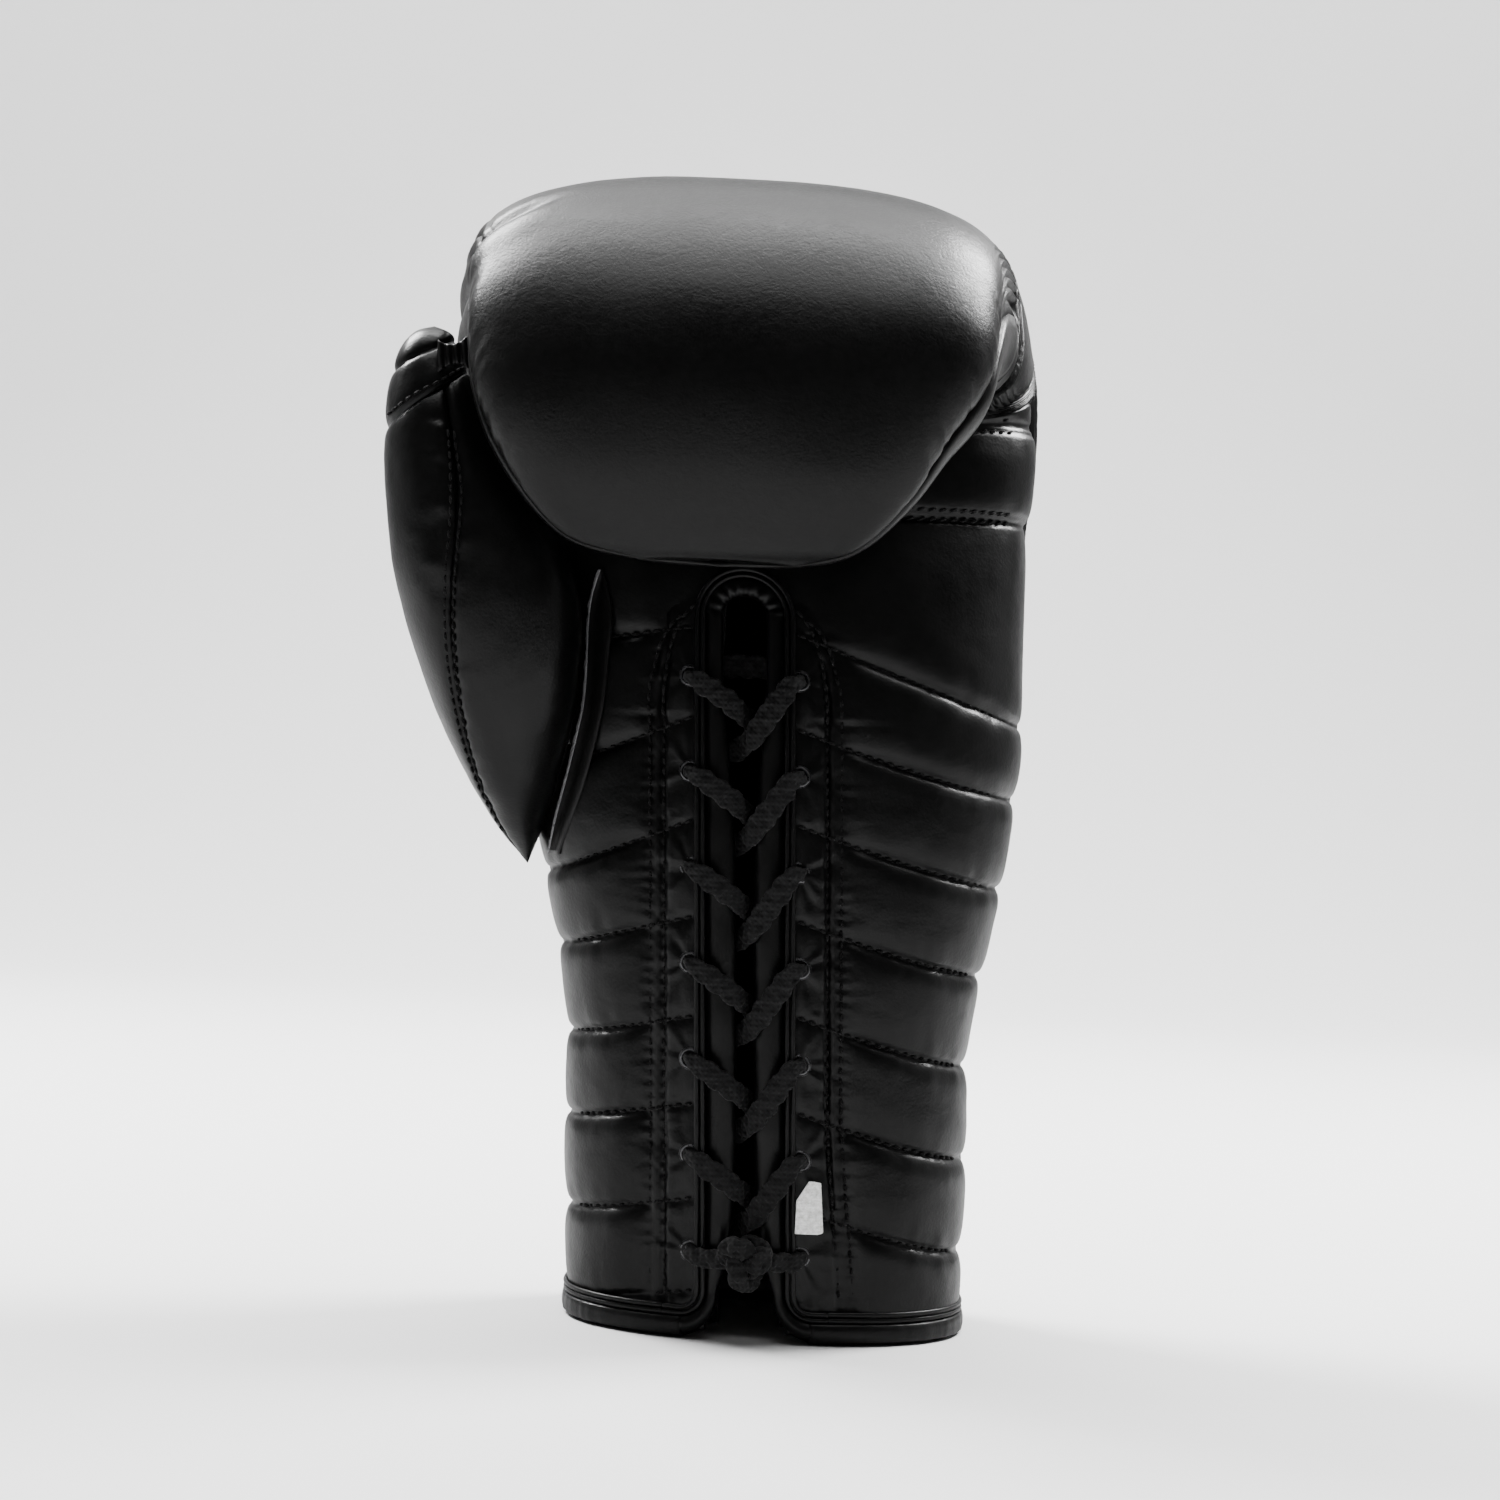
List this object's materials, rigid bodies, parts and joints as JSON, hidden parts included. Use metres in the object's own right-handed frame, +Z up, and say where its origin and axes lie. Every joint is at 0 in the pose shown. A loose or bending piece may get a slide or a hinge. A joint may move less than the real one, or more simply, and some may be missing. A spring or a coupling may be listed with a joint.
{
  "type": "boxing glove",
  "caption": "Padded leather boxing glove for the left hand, laced through eyelets along a slot in the palm side, with an attached thumb and a folded finger roll.",
  "frame": {"origin": "centre of the cuff's rim, on the plane the glove stands on", "axes": "+Z up from the rim to the fist, -Y out of the palm side with the lacing, +X away from the thumb"},
  "size_m": [0.1706, 0.132, 0.2995],
  "materials": {
    "leather": "satin black, fine grain, creased at the folds",
    "foam": "matte closed-cell foam",
    "dense_foam": "matte dense foam",
    "lining": "smooth woven nylon",
    "lace": "flat braided cotton",
    "eyelet_metal": "plain metal",
    "tag": "white woven satin, unprinted"
  },
  "bodies": {
    "hand": {"knuckle_shell": "leather", "back_cuff_panel": "leather", "palm_panel": "leather", "roll_underside_panel": "leather", "knuckle_foam_outer": "foam", "knuckle_foam_core": "dense_foam", "knuckle_foam_inner": "foam", "fingertip_pad": "foam", "roll_underside_pad": "foam", "back_wrist_pad": "foam", "right_cuff_pad": "foam", "left_cuff_pad": "foam", "palm_pad": "foam", "crease_pad": "foam", "grip_bar": "dense_foam", "hand_lining": "lining", "finger_lining": "lining", "hem_binding": "leather", "slot_facing": "leather", "slot_piping": "leather", "eyelets": "eyelet_metal", "lace": "lace", "lace_knot": "lace", "thumb_strip": "leather", "thumb_tab": "leather"},
    "thumb": {"thumb_outer_panel": "leather", "thumb_inner_panel": "leather", "thumb_tip_panel": "leather", "thumb_foam": "foam", "thumb_lining": "lining"},
    "tag": {"size_tag": "tag"}
  },
  "joints": [
    {"name": "thumb_flex", "type": "hinge", "parent": "hand", "child": "thumb", "pos_m": [-0.06639, -0.018, 0.122], "axis": [0, -1, 0], "range_deg": [0, 6], "stiffness_Nm_per_rad": 3, "deforming": ["thumb_tab"]},
    {"name": "tag_flap", "type": "hinge", "parent": "hand", "child": "tag", "pos_m": [0.00642, -0.04145, 0.032], "axis": [0, 0, -1], "range_deg": [0, 100]}
  ]
}
